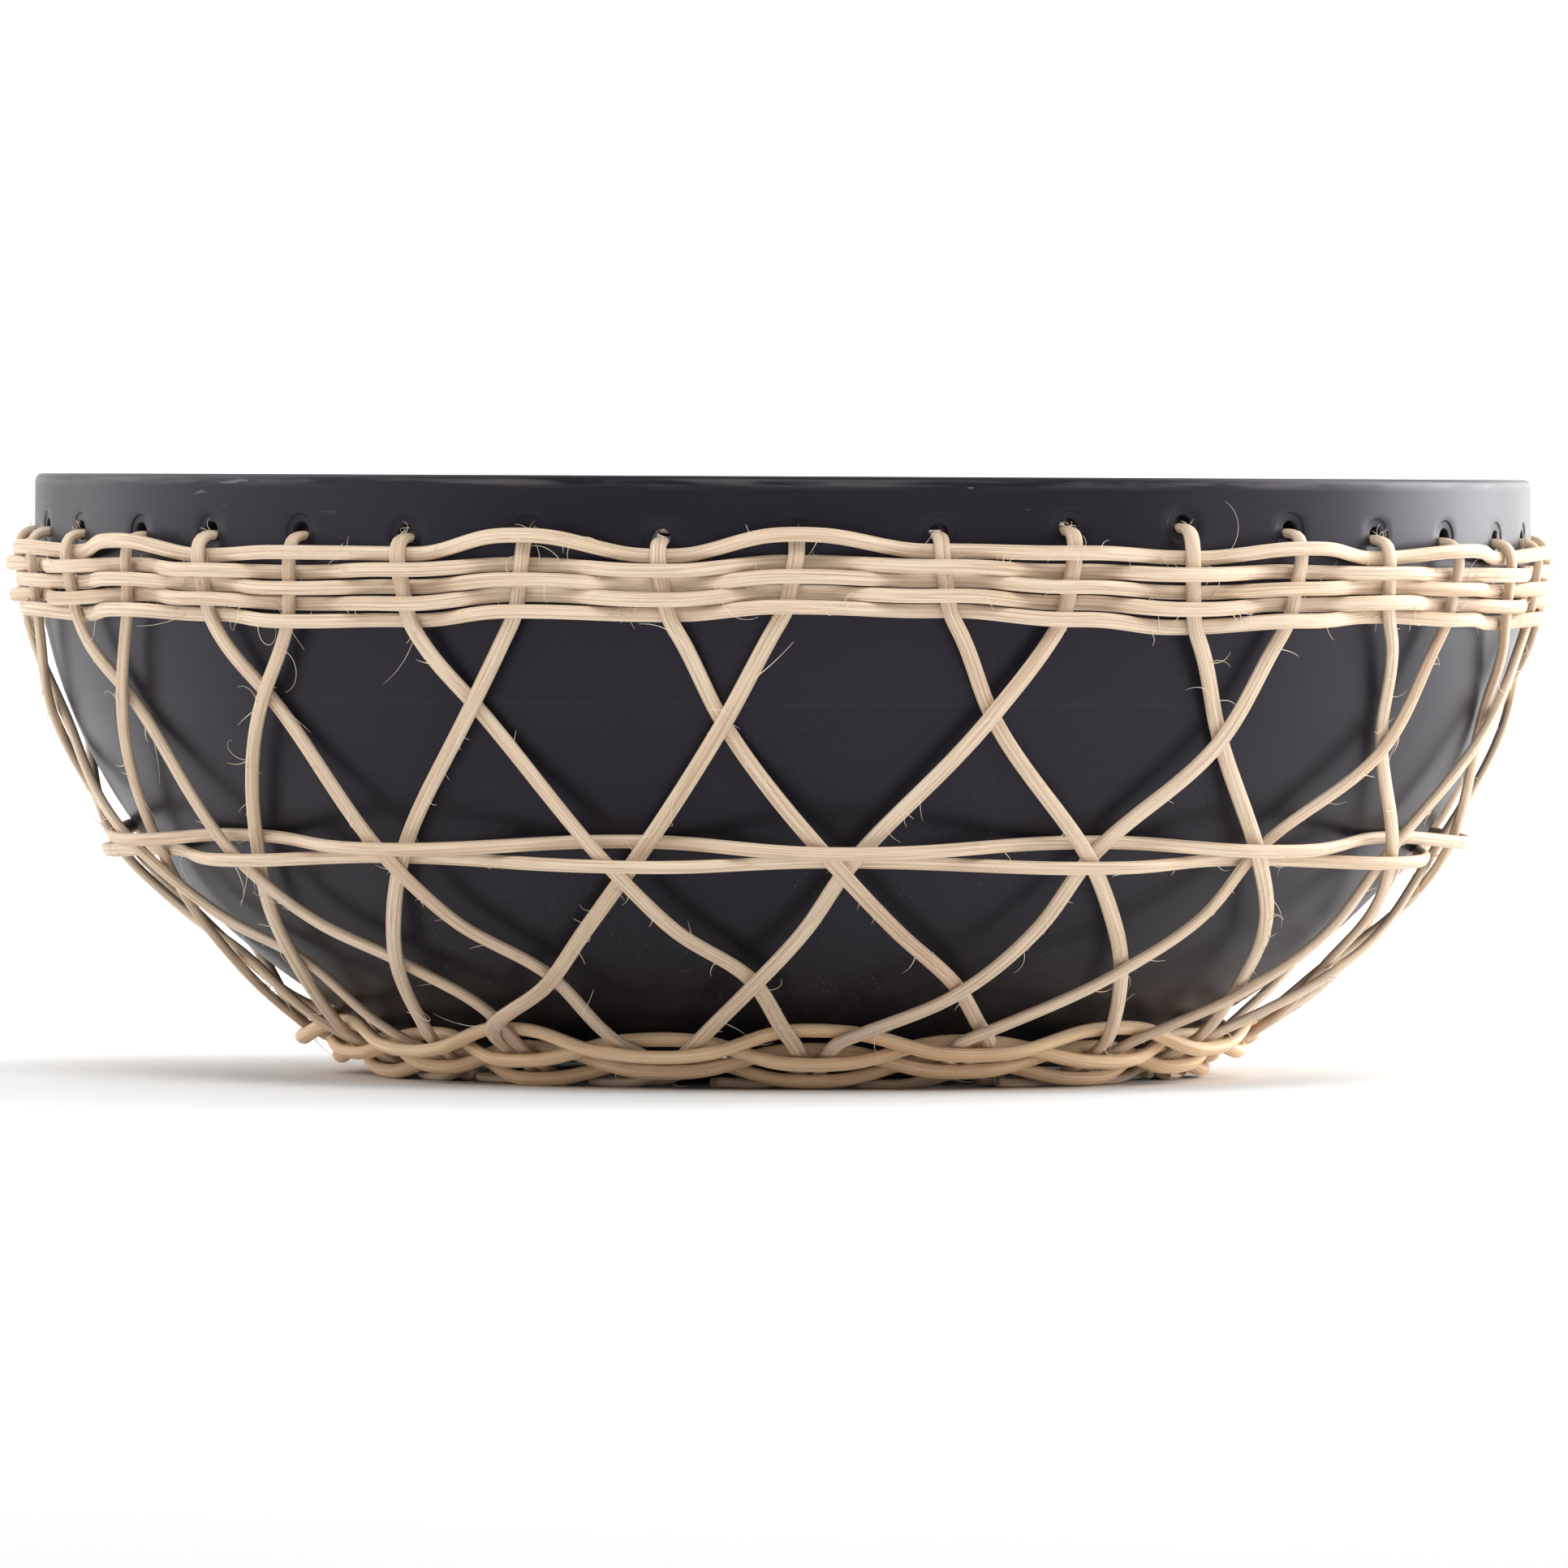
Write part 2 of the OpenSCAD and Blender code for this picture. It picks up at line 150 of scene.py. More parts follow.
TOP_ROW_HUMP = [3, 0.5, 2, 2, 1, 2, 0.5, 2.5, 1, 2, 0.5, 3, 1, 2, 1, 2.5, 0.5, 3.5]
HIGH_LEAN = [1, 1, 0, -1, 1, 2, 0, -2, 1, 0, 2, -1, 1, 0, 3.5, 2, 1, 0.5]
HIGH_RISE = [1.5, -4, -5.5, 1, 3, -2, 0, 4, -1, 2, -3, 0, 3, -2, 3, 4, 2.5, -1.5]
MID_LEAN = [2, -0.5, 0.5, 1, 0, 2, -1, 0, 1, -2, 0, 1, 3, 4, 2.5, 0.5, 1.5, 0.5]
MID_RISE = [2, 2.5, 0, -2, 1, 2, -1, 1, 0, -2, 1, 2, 0, -1, -2, 0.5, -2, -1]
LOW_LEAN = [0.5, 1.5, 0, 1, -1, 2, 0, 1, -2, 0, 2, 4, 6, 5.5, 2.8, 0.5, 2, 3.4]
LOW_RISE = [4.5, -2, 2, -1, 3, 0, 2, -2, 1, 3, 0, -1, 2, 1.5, 2.5, 0, -0.5, -2]
BASE_LEAN = [0, -3, 1, -1, 2, 0, -2, 1, 0, 1, 3, 5, 8, 5.5, 0.3, 0.2, -0.9, -1.5]
BASE_SPREAD = [2.5, 1.5, 1.2, 3, 2, -1.2, 3.5, 2, 1.2, 3, -1.2, 2, 1.2, 3, -1.2, 4.8, 2.6, -2]
# The first crossing's angle at each level, and the level's height
HIGH_START, HIGH_Z = 15.0, 98.0
MID_START, MID_Z = 25.0, 58.5
LOW_START, LOW_Z = 35.0, 29.0
BASE_START = 45.0
# The lower part of the cage has slipped this far to the right
CAGE_SHIFT = 2.6
# Share of its sideways way that a stake has made halfway down to the low crossing
WAY_SHARE = 0.4
WAY_SHARE_SIDES = 0.16


def sind(a):
    return math.sin(math.radians(a))


def cosd(a):
    return math.cos(math.radians(a))


# ---------------------------------------------------------------- camera
def make_camera():
    """A long lens at the rim's height, rolled a quarter of a degree."""
    distance = 4.345
    height = 0.157
    aside = 0.0006
    sensor = 36
    focal_in_sensor_widths = 10.352
    horizon_above_centre = 0.18892
    roll = math.radians(0.27)
    pitch = math.atan(horizon_above_centre / focal_in_sensor_widths)
    forward = Vector((0, math.cos(pitch), -math.sin(pitch)))
    right = Vector((1, 0, 0))
    up = right.cross(forward)
    rolled_right = math.cos(roll) * right + math.sin(roll) * up
    rolled_up = math.cos(roll) * up - math.sin(roll) * right
    data = bpy.data.cameras.new("camera")
    data.sensor_width = sensor
    data.lens = sensor * focal_in_sensor_widths
    data.clip_end = 50
    cam = bpy.data.objects.new("camera", data)
    rows = [(rolled_right[i], rolled_up[i], -forward[i]) for i in range(3)]
    place = Vector((aside, -distance, height))
    cam.matrix_world = Matrix.Translation(place) @ Matrix(rows).to_4x4()
    bpy.context.collection.objects.link(cam)
    bpy.context.scene.camera = cam


# ---------------------------------------------------------------- the bowl's curves
def wall_r(z):
    """Radius of the bowl's outside at a height: straight at the top, then an ellipse."""
    if z >= CURVE_TOP:
        return BOWL_R
    return BOWL_R * math.sqrt(1 - ((CURVE_TOP - z) / CURVE_DEPTH) ** 2)


def wall_tilt(z):
    """Degrees that the outside faces below the horizontal at a height."""
    if z >= CURVE_TOP:
        return 0.0
    return math.degrees(math.atan2((CURVE_TOP - z) / CURVE_DEPTH**2, wall_r(z) / BOWL_R**2))


def inner_wall_r(z):
    """Radius of the bowl's inside at a height."""
    if z >= CURVE_TOP:
        return INNER_R
    return INNER_R * math.sqrt(max(0.0, 1 - ((CURVE_TOP - z) / (CURVE_DEPTH - WALL_T)) ** 2))


def stake_off(z):
    """Distance from the wall to the stakes' middle layer at a height."""
    heights = [LOW_Z, MID_Z, HIGH_Z, UNDER_BAND_Z]
    layers = [LOW_STAKE_LAYER, RING_STAKE_LAYER, HIGH_STAKE_LAYER, STAKE_LAYER]
    return float(np.interp(z, heights, layers))


def cage_r(z, a):
    """Radius of the stakes' middle layer; low down the cage sits a little to the right."""
    shift = float(np.interp(z, [LOW_Z + 10, MID_Z + 2], [CAGE_SHIFT, 0])) * sind(a)
    return wall_r(z) + stake_off(z) / cosd(wall_tilt(z)) + shift


# ---------------------------------------------------------------- routes of the stakes
def stake_angle(k):
    """Angle of a stake where it leaves its hole."""
    return PITCH * k + HOLE_LEAN[k % STAKES]


def stake_hole_z(k):
    """Height of the middle of a stake's hole."""
    return HOLE_Z + HOLE_RISE[k % STAKES]


def node_angle(j, start, lean):
    """Angle of a numbered crossing at the level that starts there and leans so."""
    return 2 * PITCH * j + start + lean[j % CANES]


def meets(k, level):
    """Number of the crossing that a stake meets at a level."""
    return (k - 1) // 2 if k % 2 == 1 else k // 2 - level


def band_row_z(i, k):
    """Height of a row of the band at a stake: below the hole, and clear of the row above."""
    below_hole = stake_hole_z(k) - HOLE_DROP - (CANE_T + ROW_W) / 2 - 0.1
    top = BAND_Z + TOP_RISE[k % STAKES]
    if k % 2 == 1:
        top = min(top, below_hole)
    low = BAND_Z - (BAND_ROWS - 1) * BAND_PITCH + FOOT_RISE[k % STAKES]
    return top - i * max(ROW_W + 0.05, (top - low) / (BAND_ROWS - 1))


def crossed(j):
    """Whether the two stakes of a pair cross once more before they reach the base."""
    return BASE_SPREAD[j % CANES] < 0


def pair_gap(j, i):
    """The two stakes of a pair close up as they pass the rows of the base."""
    far = (1 - i / (BASE_ROWS - 1)) ** 1.5
    return PAIR_HALF + far * (abs(BASE_SPREAD[j % CANES]) - PAIR_HALF)


def base_angle(k, way, i):
    """Angle of a stake at a row of the base."""
    j = meets(k, 4)
    side = -1 if crossed(j) else 1
    return node_angle(j, BASE_START, BASE_LEAN) - way * side * pair_gap(j, i)


def leg(k):
    """Stations of one stake from the hole's mouth inside the bowl to its cut end."""
    way = 1 if k % 2 == 1 else -1
    a = stake_angle(k)
    z = stake_hole_z(k) - HOLE_DROP
    out = BOWL_R + STAKE_LAYER
    # Straight through the wall, and over the bend outside it
    hole = [
        (a, INNER_R, z, -90, 0),
        (a, BOWL_R - 0.5, z, -90, 0),
        (a, out - BEND_R, z, -78, 0),
        (a, out - 0.3 * BEND_R, z - 0.3 * BEND_R, -45, 0)]
    # Down between the rows of the band
    middle = band_row_z(BAND_ROWS // 2, k)
    lowest = band_row_z(BAND_ROWS - 1, k) - 1
    tilt = wall_tilt(middle)
    band = [
        (a, out, z - BEND_R - 0.6, -8, 0),
        (a + 0.3 * way, wall_r(middle) + STAKE_LAYER / cosd(tilt), middle, tilt, 0),
        (a + 0.8 * way, cage_r(lowest, a), lowest, wall_tilt(lowest), 0)]
    # Across the other stakes at three levels, over one and under the next
    half = (LAYER + CROSS_GAP) / 2 * way
    under = lowest - 5
    lattice = [(a + 1.6 * way, cage_r(under, a), under, wall_tilt(under), 0)]
    for level, start, lean, height, rise, side in (
            (1, HIGH_START, HIGH_LEAN, HIGH_Z, HIGH_RISE, -half),
            (2, MID_START, MID_LEAN, MID_Z, MID_RISE, half),
            (3, LOW_START, LOW_LEAN, LOW_Z, LOW_RISE, -half)):
        j = meets(k, level)
        h = height + rise[j % CANES]
        to = node_angle(j, start, lean)
        if level == 3:
            last_a, last_z = lattice[-1][0], lattice[-1][2]
            between = (h + last_z) / 2
            share = WAY_SHARE + WAY_SHARE_SIDES * way * sind(last_a)
            part_way = last_a + (to - last_a) * share
            lattice.append((part_way, cage_r(between, last_a), between, wall_tilt(between), 0))
        lattice.append((to, cage_r(h, to), h, wall_tilt(h), side))
    # Just above the base, where the two stakes of some pairs cross once more
    j = meets(k, 4)
    if crossed(j):
        near = 0.25
        near_a = node_angle(j, BASE_START, BASE_LEAN)
        aside = -1.15 * half
    else:
        near = 0.18
        first = base_angle(k, way, 0)
        near_a = first + (to - first) * near
        aside = 0
    near_r = BASE_R + (cage_r(h, to) - BASE_R) * near
    near_z = BASE_Z + (h - BASE_Z) * (near - 0.03)
    lattice.append((near_a, near_r, near_z, BASE_TILT - 4, aside))
    base = [
        (base_angle(k, way, i), BASE_R - i * BASE_STEP_R, BASE_Z - i * BASE_STEP_Z, BASE_TILT, 0)
        for i in range(BASE_ROWS)]
    return hole + band + lattice + base + foot(k, way)


def foot(k, way):
    """The turned-under end: both stakes of a pair bend to the left and lie side by side."""
    j = meets(k, 4)
    a = node_angle(j, BASE_START, BASE_LEAN)
    inside = 1 if (way < 0) != crossed(j) else 0
    floor_z = CANE_T / 2
    foot_r = BASE_R - FOOT_IN - inside * (CANE_W + 0.4)
    return [
        (a - 1.6 + inside * 2.4, foot_r + 1.9 + inside * 3.1, 3.9, 72, 0),
        (a - 4 + inside * 2.4, foot_r + 0.5 + inside * 1.3, 2.1, 84, 0),
        (a - 6.5, foot_r, floor_z, 90, 0),
        (a - 10, foot_r - 0.2, floor_z, 90, 0),
        (a - 12.8 - inside * 1.4, foot_r - 0.8 - inside * 0.6, floor_z + 0.2, 91, 0)]


def loop(k):
    """The short loop inside the bowl, from one hole to the next."""
    a, b = stake_angle(k), stake_angle(k + 1)
    za, zb = stake_hole_z(k) - HOLE_DROP, stake_hole_z(k + 1) - HOLE_DROP
    turn = math.degrees(math.asin(BEND_R / INNER_R))
    return [
        (a + 0.3 * turn, LOOP_R + 0.3 * BEND_R, za, -135, 0),
        (a + turn, LOOP_R, za, -175, 0),
        ((a + b) / 2, LOOP_R + 0.3, (za + zb) / 2, -180, 0),
        (b - turn, LOOP_R, zb, -175, 0),
        (b - 0.3 * turn, LOOP_R + 0.3 * BEND_R, zb, -135, 0)]


# ---------------------------------------------------------------- routes of the rows
def from_the_back(count):
    """Numbers once round the bowl that start at the back, where a row's grain has its seam."""
    return range(count // 2, count // 2 + count)


def band_row_stations(i):
    """A row of the band: over one stake and under the next, the top row with humps."""
    stations = []
    for k in from_the_back(STAKES):
        over = (i + k) % 2 == 0
        z = band_row_z(i, k) + (TOP_ROW_HUMP[k // 2 % CANES] if i == 0 and over else 0)
        tilt = wall_tilt(z)
        r = wall_r(z) + (STAKE_LAYER + (LAYER if over else -LAYER)) / cosd(tilt)
        for side in (-BAND_HALF, BAND_HALF):
            stations.append((stake_angle(k) + side, r, z, tilt, 0))
    return stations


def ring_row_stations(i):
    """A row of the middle ring: over one crossing and under the next."""
    stations = []
    wave = 1.2 if i == 0 else 0.8
    for j in from_the_back(CANES):
        over = (i + j) % 2 == 1
        z = RING_Z - i * RING_PITCH + (-1 if over else 1) * wave
        off = RING_STAKE_LAYER + 1.5 * LAYER if over else INNER_LAYER
        tilt = wall_tilt(z)
        for side in (-RING_HALF, RING_HALF):
            a = node_angle(j, MID_START, MID_LEAN) + side
            stations.append((a, wall_r(z) + off / cosd(tilt), z, tilt, 0))
    return stations


def base_row_stations(i):
    """A row of the base: outside one pair of stakes and inside the next."""
    stations = []
    for j in from_the_back(CANES):
        layer = BASE_LAYER if (i + j) % 2 == 1 else -BASE_LAYER
        half = BASE_HALF - PAIR_HALF + pair_gap(j, i)
        for side in (-half, half):
            a = node_angle(j, BASE_START, BASE_LEAN) + side
            stations.append(
                (a, BASE_R - i * BASE_STEP_R, BASE_Z - i * BASE_STEP_Z, BASE_TILT, layer))
    return stations


# ---------------------------------------------------------------- from stations to a fine route
def fine_route(stations, closed, rng, step=1.5, wander=0.25):
    """Points, outward faces and arc lengths of a route, evenly spaced and softly bent."""
    s = np.array(stations, float)
    if closed:
        turn = np.array([360.0, 0, 0, 0, 0])
        s = np.vstack([s[-2] - turn, s[-1] - turn, s, s[0] + turn, s[1] + turn, s[2] + turn])
    gaps = np.linalg.norm(np.diff(places(s), axis=0), axis=1)
    at = np.concatenate([[0], np.cumsum(gaps)])
    # The slope at each station, from the gaps on both sides of it
    slope = np.zeros_like(s)
    rate = np.diff(s, axis=0) / gaps[:, None]
    slope[1:-1] = (rate[:-1] * gaps[1:, None] + rate[1:] * gaps[:-1, None]) / (
        gaps[:-1] + gaps[1:])[:, None]
    slope[0], slope[-1] = rate[0], rate[-1]
    start, end = (at[2], at[-3]) if closed else (0.0, at[-1])
    count = int(round((end - start) / step)) + 1
    t = np.linspace(start, end, count)
    if closed:
        t = t[:-1]
    # A cubic between each two stations
    i = np.clip(np.searchsorted(at, t, side="right") - 1, 0, len(gaps) - 1)
    h = gaps[i][:, None]
    u = ((t - at[i]) / gaps[i])[:, None]
    fine = (
        (1 + 2 * u) * (1 - u) ** 2 * s[i] + u * (1 - u) ** 2 * h * slope[i]
        + u**2 * (3 - 2 * u) * s[i + 1] + u**2 * (u - 1) * h * slope[i + 1])
    fine[:, 2] += soft_noise(rng, len(t), 26, closed) * wander
    return soften(places(fine), closed), faces(fine), t - start


def places(s):
    """Points of an array of stations."""
    tilt = np.radians(s[:, 3])
    a = np.radians(s[:, 0])
    r = s[:, 1] + s[:, 4] * np.cos(tilt)
    return np.stack([r * np.sin(a), -r * np.cos(a), s[:, 2] - s[:, 4] * np.sin(tilt)], 1)


def faces(s):
    """Directions that the cane's outer face looks in, for an array of stations."""
    tilt = np.radians(s[:, 3])
    a = np.radians(s[:, 0])
    return np.stack([np.cos(tilt) * np.sin(a), -np.cos(tilt) * np.cos(a), -np.sin(tilt)], 1)


def soft_noise(rng, count, span, closed):
    """A smooth random line with a bump about every span points."""
    knots = max(4, count // span)
    values = rng.uniform(-1, 1, knots)
    at = np.arange(count) * knots / count
    low = np.floor(at).astype(int)
    f = at - low
    f = f * f * (3 - 2 * f)
    high = (low + 1) % knots if closed else np.minimum(low + 1, knots - 1)
    return values[low % knots] * (1 - f) + values[high] * f


def soften(p, closed, rounds=2):
    """The points drawn towards their neighbours, which rounds the corners off."""
    for _ in range(rounds):
        if closed:
            p = 0.25 * np.roll(p, 1, 0) + 0.5 * p + 0.25 * np.roll(p, -1, 0)
        else:
            q = p.copy()
            q[1:-1] = 0.25 * p[:-2] + 0.5 * p[1:-1] + 0.25 * p[2:]
            p = q
    return p


def unit(v):
    """The vector, or each vector of an array, at a length of one."""
    return v / np.linalg.norm(v, axis=-1, keepdims=True)


# ---------------------------------------------------------------- canes
SIDES = 16
FLUTES = 5
FLUTE_DEPTH = 0.022
# Power below 1 that makes the round section slightly square
SQUARING = 0.86
UNEVEN = 0.05
TWIST = 9
# A cut end shows a round patch of the grain, this far out from its middle
END_GRAIN = 0.02


def cane_mesh(name, stations, closed, seed, cane_w=CANE_W, cane_t=CANE_T):
    """One cane: a flattened round section, a little uneven, with shallow flutes."""
    rng = np.random.default_rng(seed)
    p, face, along = fine_route(stations, closed, rng)
    n = len(p)
    if closed:
        direction = unit(np.roll(p, -1, 0) - np.roll(p, 1, 0))
    else:
        direction = unit(np.gradient(p, axis=0))
    up = unit(face - (face * direction).sum(1, keepdims=True) * direction)
    side = np.cross(direction, up)
    roll = np.radians(TWIST) * soft_noise(rng, n, 40, closed)
    width = cane_w / 2 * (1 + UNEVEN * soft_noise(rng, n, 30, closed))
    thick = cane_t / 2 * (1 + UNEVEN * soft_noise(rng, n, 24, closed))
    theta = 2 * np.pi * np.arange(SIDES) / SIDES - np.pi / 2
    drift = 2 * soft_noise(rng, n, 60, closed)[:, None]
    flute = 1 + FLUTE_DEPTH * np.sin(theta[None] * FLUTES + drift)
    cx = np.sign(np.cos(theta)) * np.abs(np.cos(theta)) ** SQUARING
    cy = np.sign(np.sin(theta)) * np.abs(np.sin(theta)) ** SQUARING
    x = width[:, None] * cx * flute
    y = thick[:, None] * cy * flute
    x, y = (x * np.cos(roll)[:, None] - y * np.sin(roll)[:, None],
            x * np.sin(roll)[:, None] + y * np.cos(roll)[:, None])
    rings = p[:, None] + x[..., None] * side[:, None] + y[..., None] * up[:, None]
    # The ends that lie on the floor are flat underneath
    rings[..., 2] = np.maximum(rings[..., 2], 0)
    verts = (rings.reshape(-1, 3) * MM).tolist()
    # The grain follows the cane: u is metres along it, and v is once round it
    quads, uvs = [], []
    offset = float(rng.uniform(0, 50))
    for i in range(n if closed else n - 1):
        after = (i + 1) % n
        u0 = along[i] * MM + offset
        u1 = (along[i + 1] if i + 1 < n else along[i] + along[1]) * MM + offset
        for j in range(SIDES):
            k = (j + 1) % SIDES
            quads.append((i * SIDES + j, i * SIDES + k, after * SIDES + k, after * SIDES + j))
            v0, v1 = j / SIDES, (j + 1) / SIDES
            uvs += [(u0, v0), (u0, v1), (u1, v1), (u1, v0)]
    if not closed:
        for ring_at, order in ((0, range(SIDES - 1, -1, -1)), (n - 1, range(SIDES))):
            quads.append(tuple(ring_at * SIDES + j for j in order))
            turns = [360 * j / SIDES for j in order]
            uvs += [(END_GRAIN * cosd(turn), END_GRAIN * sind(turn)) for turn in turns]
    me = bpy.data.meshes.new(name)
    me.from_pydata(verts, [], quads)
    layer = me.uv_layers.new(name="route")
    layer.data.foreach_set("uv", np.array(uvs, np.float32).ravel())
    me.polygons.foreach_set("use_smooth", [len(q) == 4 for q in quads])
    me.update()
    return me


def smooth_mesh(name, verts, quads):
    """A mesh with every face shaded smooth."""
    me = bpy.data.meshes.new(name)
    me.from_pydata(verts, [], quads)
    me.polygons.foreach_set("use_smooth", [True] * len(quads))
    me.update()
    return me


def add(name, mesh, material, slot, *nodes):
    """A visible piece of the bowl's body, in place of the CAD nodes that it names."""
    ob = bpy.data.objects.new(name, mesh)
    bpy.context.collection.objects.link(ob)
    mesh.materials.append(material)
    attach(ob, "root")
    if nodes:
        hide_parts(*nodes)


def make_canes(stake_finish, row_finish, base_finish_painted_bright):
    """Each stake cane has two legs, so its first leg is run backwards to the loop."""
    for c in range(CANES):
        k = 2 * c
        stations = leg(k)[::-1] + loop(k) + leg(k + 1)
        mesh = cane_mesh(f"stake_{c + 1:02d}", stations, False, 100 + c)
        add(f"woven_stake_{c + 1:02d}", mesh, stake_finish, "stake_cane", f"stake_cane_{c + 1:02d}")
    for i in range(BAND_ROWS):
        mesh = cane_mesh(f"band_{i + 1}", band_row_stations(i), True, 200 + i, ROW_W)
        add(f"woven_band_{i + 1}", mesh, row_finish, "row_cane", f"band_row_{i + 1}")
    for i in range(RING_ROWS):
        mesh = cane_mesh(f"ring_{i + 1}", ring_row_stations(i), True, 220 + i, ROW_W)
        add(f"woven_ring_{i + 1}", mesh, row_finish, "row_cane", f"middle_ring_row_{i + 1}")
    # The base rows take the paler base finish, which carries painted light in place of floor bounce
    for i in range(BASE_ROWS):
        mesh = cane_mesh(f"base_{i + 1}", base_row_stations(i), True, 240 + i, BASE_ROW_W, BASE_ROW_T)
        add(f"woven_base_{i + 1}", mesh, base_finish_painted_bright, "base_cane", f"base_row_{i + 1}")


# ---------------------------------------------------------------- bowl
def bowl_mesh():
    """Turned bowl as quads, with a ring of patches that hold the cane holes."""
    verts, quads, index = [], [], {}

    def vert(a, r, z):
        key = (round((a % 360) * 1e4), round(r * 1e4), round(z * 1e4))
        if key not in index:
            index[key] = len(verts)
            verts.append((r * sind(a) * MM, -r * cosd(a) * MM, z * MM))
        return index[key]

    def point(x, y, z):
        verts.append((x * MM, y * MM, z * MM))
        return len(verts) - 1

    edges = [(stake_angle(k) + stake_angle(k + 1)) / 2 for k in range(-1, STAKES)]
    edges[0] = edges[-1] - 360
    angles = [
        edges[k] + (edges[k + 1] - edges[k]) * i / STRIP_ACROSS
        for k in range(STAKES) for i in range(STRIP_ACROSS)]
    total = len(angles)

    def strip(profile):
        """Quads round the whole bowl between each two points of a profile."""
        for (r0, z0), (r1, z1) in zip(profile, profile[1:]):
            for i in range(total):
                a, b = angles[i], angles[(i + 1) % total]
                corners = [vert(a, r0, z0), vert(b, r0, z0), vert(b, r1, z1), vert(a, r1, z1)]
                kept = [c for n, c in enumerate(corners) if c not in corners[:n]]
                if len(kept) > 2:
                    quads.append(tuple(kept))

    def rim_arc(r, start, stop, n=6):
        turns = [start + (stop - start) * i / n for i in range(n + 1)]
        return [
            (r + RIM_ROUND * cosd(turn), RIM_Z - RIM_ROUND + RIM_ROUND * sind(turn))
            for turn in turns]

    def curve(radius, floor_z, n=60):
        """The curved wall from a floor up to the strip of holes, closest at its foot."""
        heights = [
            floor_z + (STRIP_LOW - floor_z) * (1 - (1 - i / n) ** 1.8) for i in range(n + 1)]
        return [(radius(z), z) for z in heights]

    strip([(0.0, BOTTOM_Z), (60.0, BOTTOM_Z)] + curve(wall_r, BOTTOM_Z))
    outer_rim = [(BOWL_R, STRIP_HIGH)] + rim_arc(BOWL_R - RIM_ROUND, 0, 90)
    inner_rim = rim_arc(INNER_R + RIM_ROUND, 90, 180) + [(INNER_R, STRIP_HIGH)]
    strip(outer_rim + inner_rim)
    strip(curve(inner_wall_r, INNER_FLOOR_Z)[::-1] + [(0.0, INNER_FLOOR_Z)])

    for k in range(STAKES):
        hole_patch(vert, point, quads, edges[k], edges[k + 1], k)
    return smooth_mesh("bowl_turned", verts, quads)


def hole_patch(vert, point, quads, a0, a1, k):
    """The wall round one hole, outside and inside, and the hole between them."""
    ha, hz = stake_angle(k), stake_hole_z(k)
    low, high = STRIP_LOW, STRIP_HIGH
    across, tall = STRIP_ACROSS, STRIP_TALL
    border = (
        [(a0 + (a1 - a0) * i / across, low) for i in range(across)]
        + [(a1, low + (high - low) * i / tall) for i in range(tall)]
        + [(a1 + (a0 - a1) * i / across, high) for i in range(across)]
        + [(a0, high + (low - high) * i / tall) for i in range(tall)])
    n = len(border)

    def ring(radius, wall, depth=0.0, share=0.0):
        """Points round the hole at a depth in the wall, drawn part of the way to the border."""
        ids = []
        for a, z in border:
            dx = math.radians(a - ha) * BOWL_R
            dz = z - hz
            size = math.hypot(dx, dz)
            far = radius + (size - radius) * share
            at_a = ha + math.degrees(dx / size * far / BOWL_R)
            at_z = hz + dz / size * far
            r = wall(at_z) - depth
            ids.append(point(r * sind(at_a), -r * cosd(at_a), at_z))
        return ids

    def bridge(outer, inner, flip):
        for i in range(n):
            j = (i + 1) % n
            q = (outer[i], outer[j], inner[j], inner[i])
            quads.append(q[::-1] if flip else q)

    # Outside: the border, the edge of the spot face, its floor, and the edge of the hole
    front = [
        [vert(a, wall_r(z), z) for a, z in border],
        ring(SPOT_R + 0.25, wall_r, share=0.55), ring(SPOT_R + 0.25, wall_r, share=0.2),
        ring(SPOT_R + 0.25, wall_r), ring(SPOT_R + 0.05, wall_r, 0.06),
        ring(SPOT_R - 0.15, wall_r, 0.3), ring(SPOT_R - 0.35, wall_r, 0.36),
        ring(HOLE_R + 0.45, wall_r, 0.36), ring(HOLE_R + 0.15, wall_r, 0.45),
        ring(HOLE_R, wall_r, 0.7)]
    for a, b in zip(front, front[1:]):
        bridge(a, b, False)
    back = [
        [vert(a, inner_wall_r(z), z) for a, z in border],
        ring(HOLE_R + 0.4, inner_wall_r, share=0.4),
        ring(HOLE_R + 0.4, inner_wall_r), ring(HOLE_R + 0.1, inner_wall_r, -0.1),
        ring(HOLE_R, inner_wall_r, -0.4)]
    for a, b in zip(back, back[1:]):
        bridge(a, b, True)
    bridge(front[-1], back[-1], False)


# ---------------------------------------------------------------- loose fibres
LONG_SHARE = 0.12
TUFT_SHARE = 0.55
HAIR_SIDES = 4


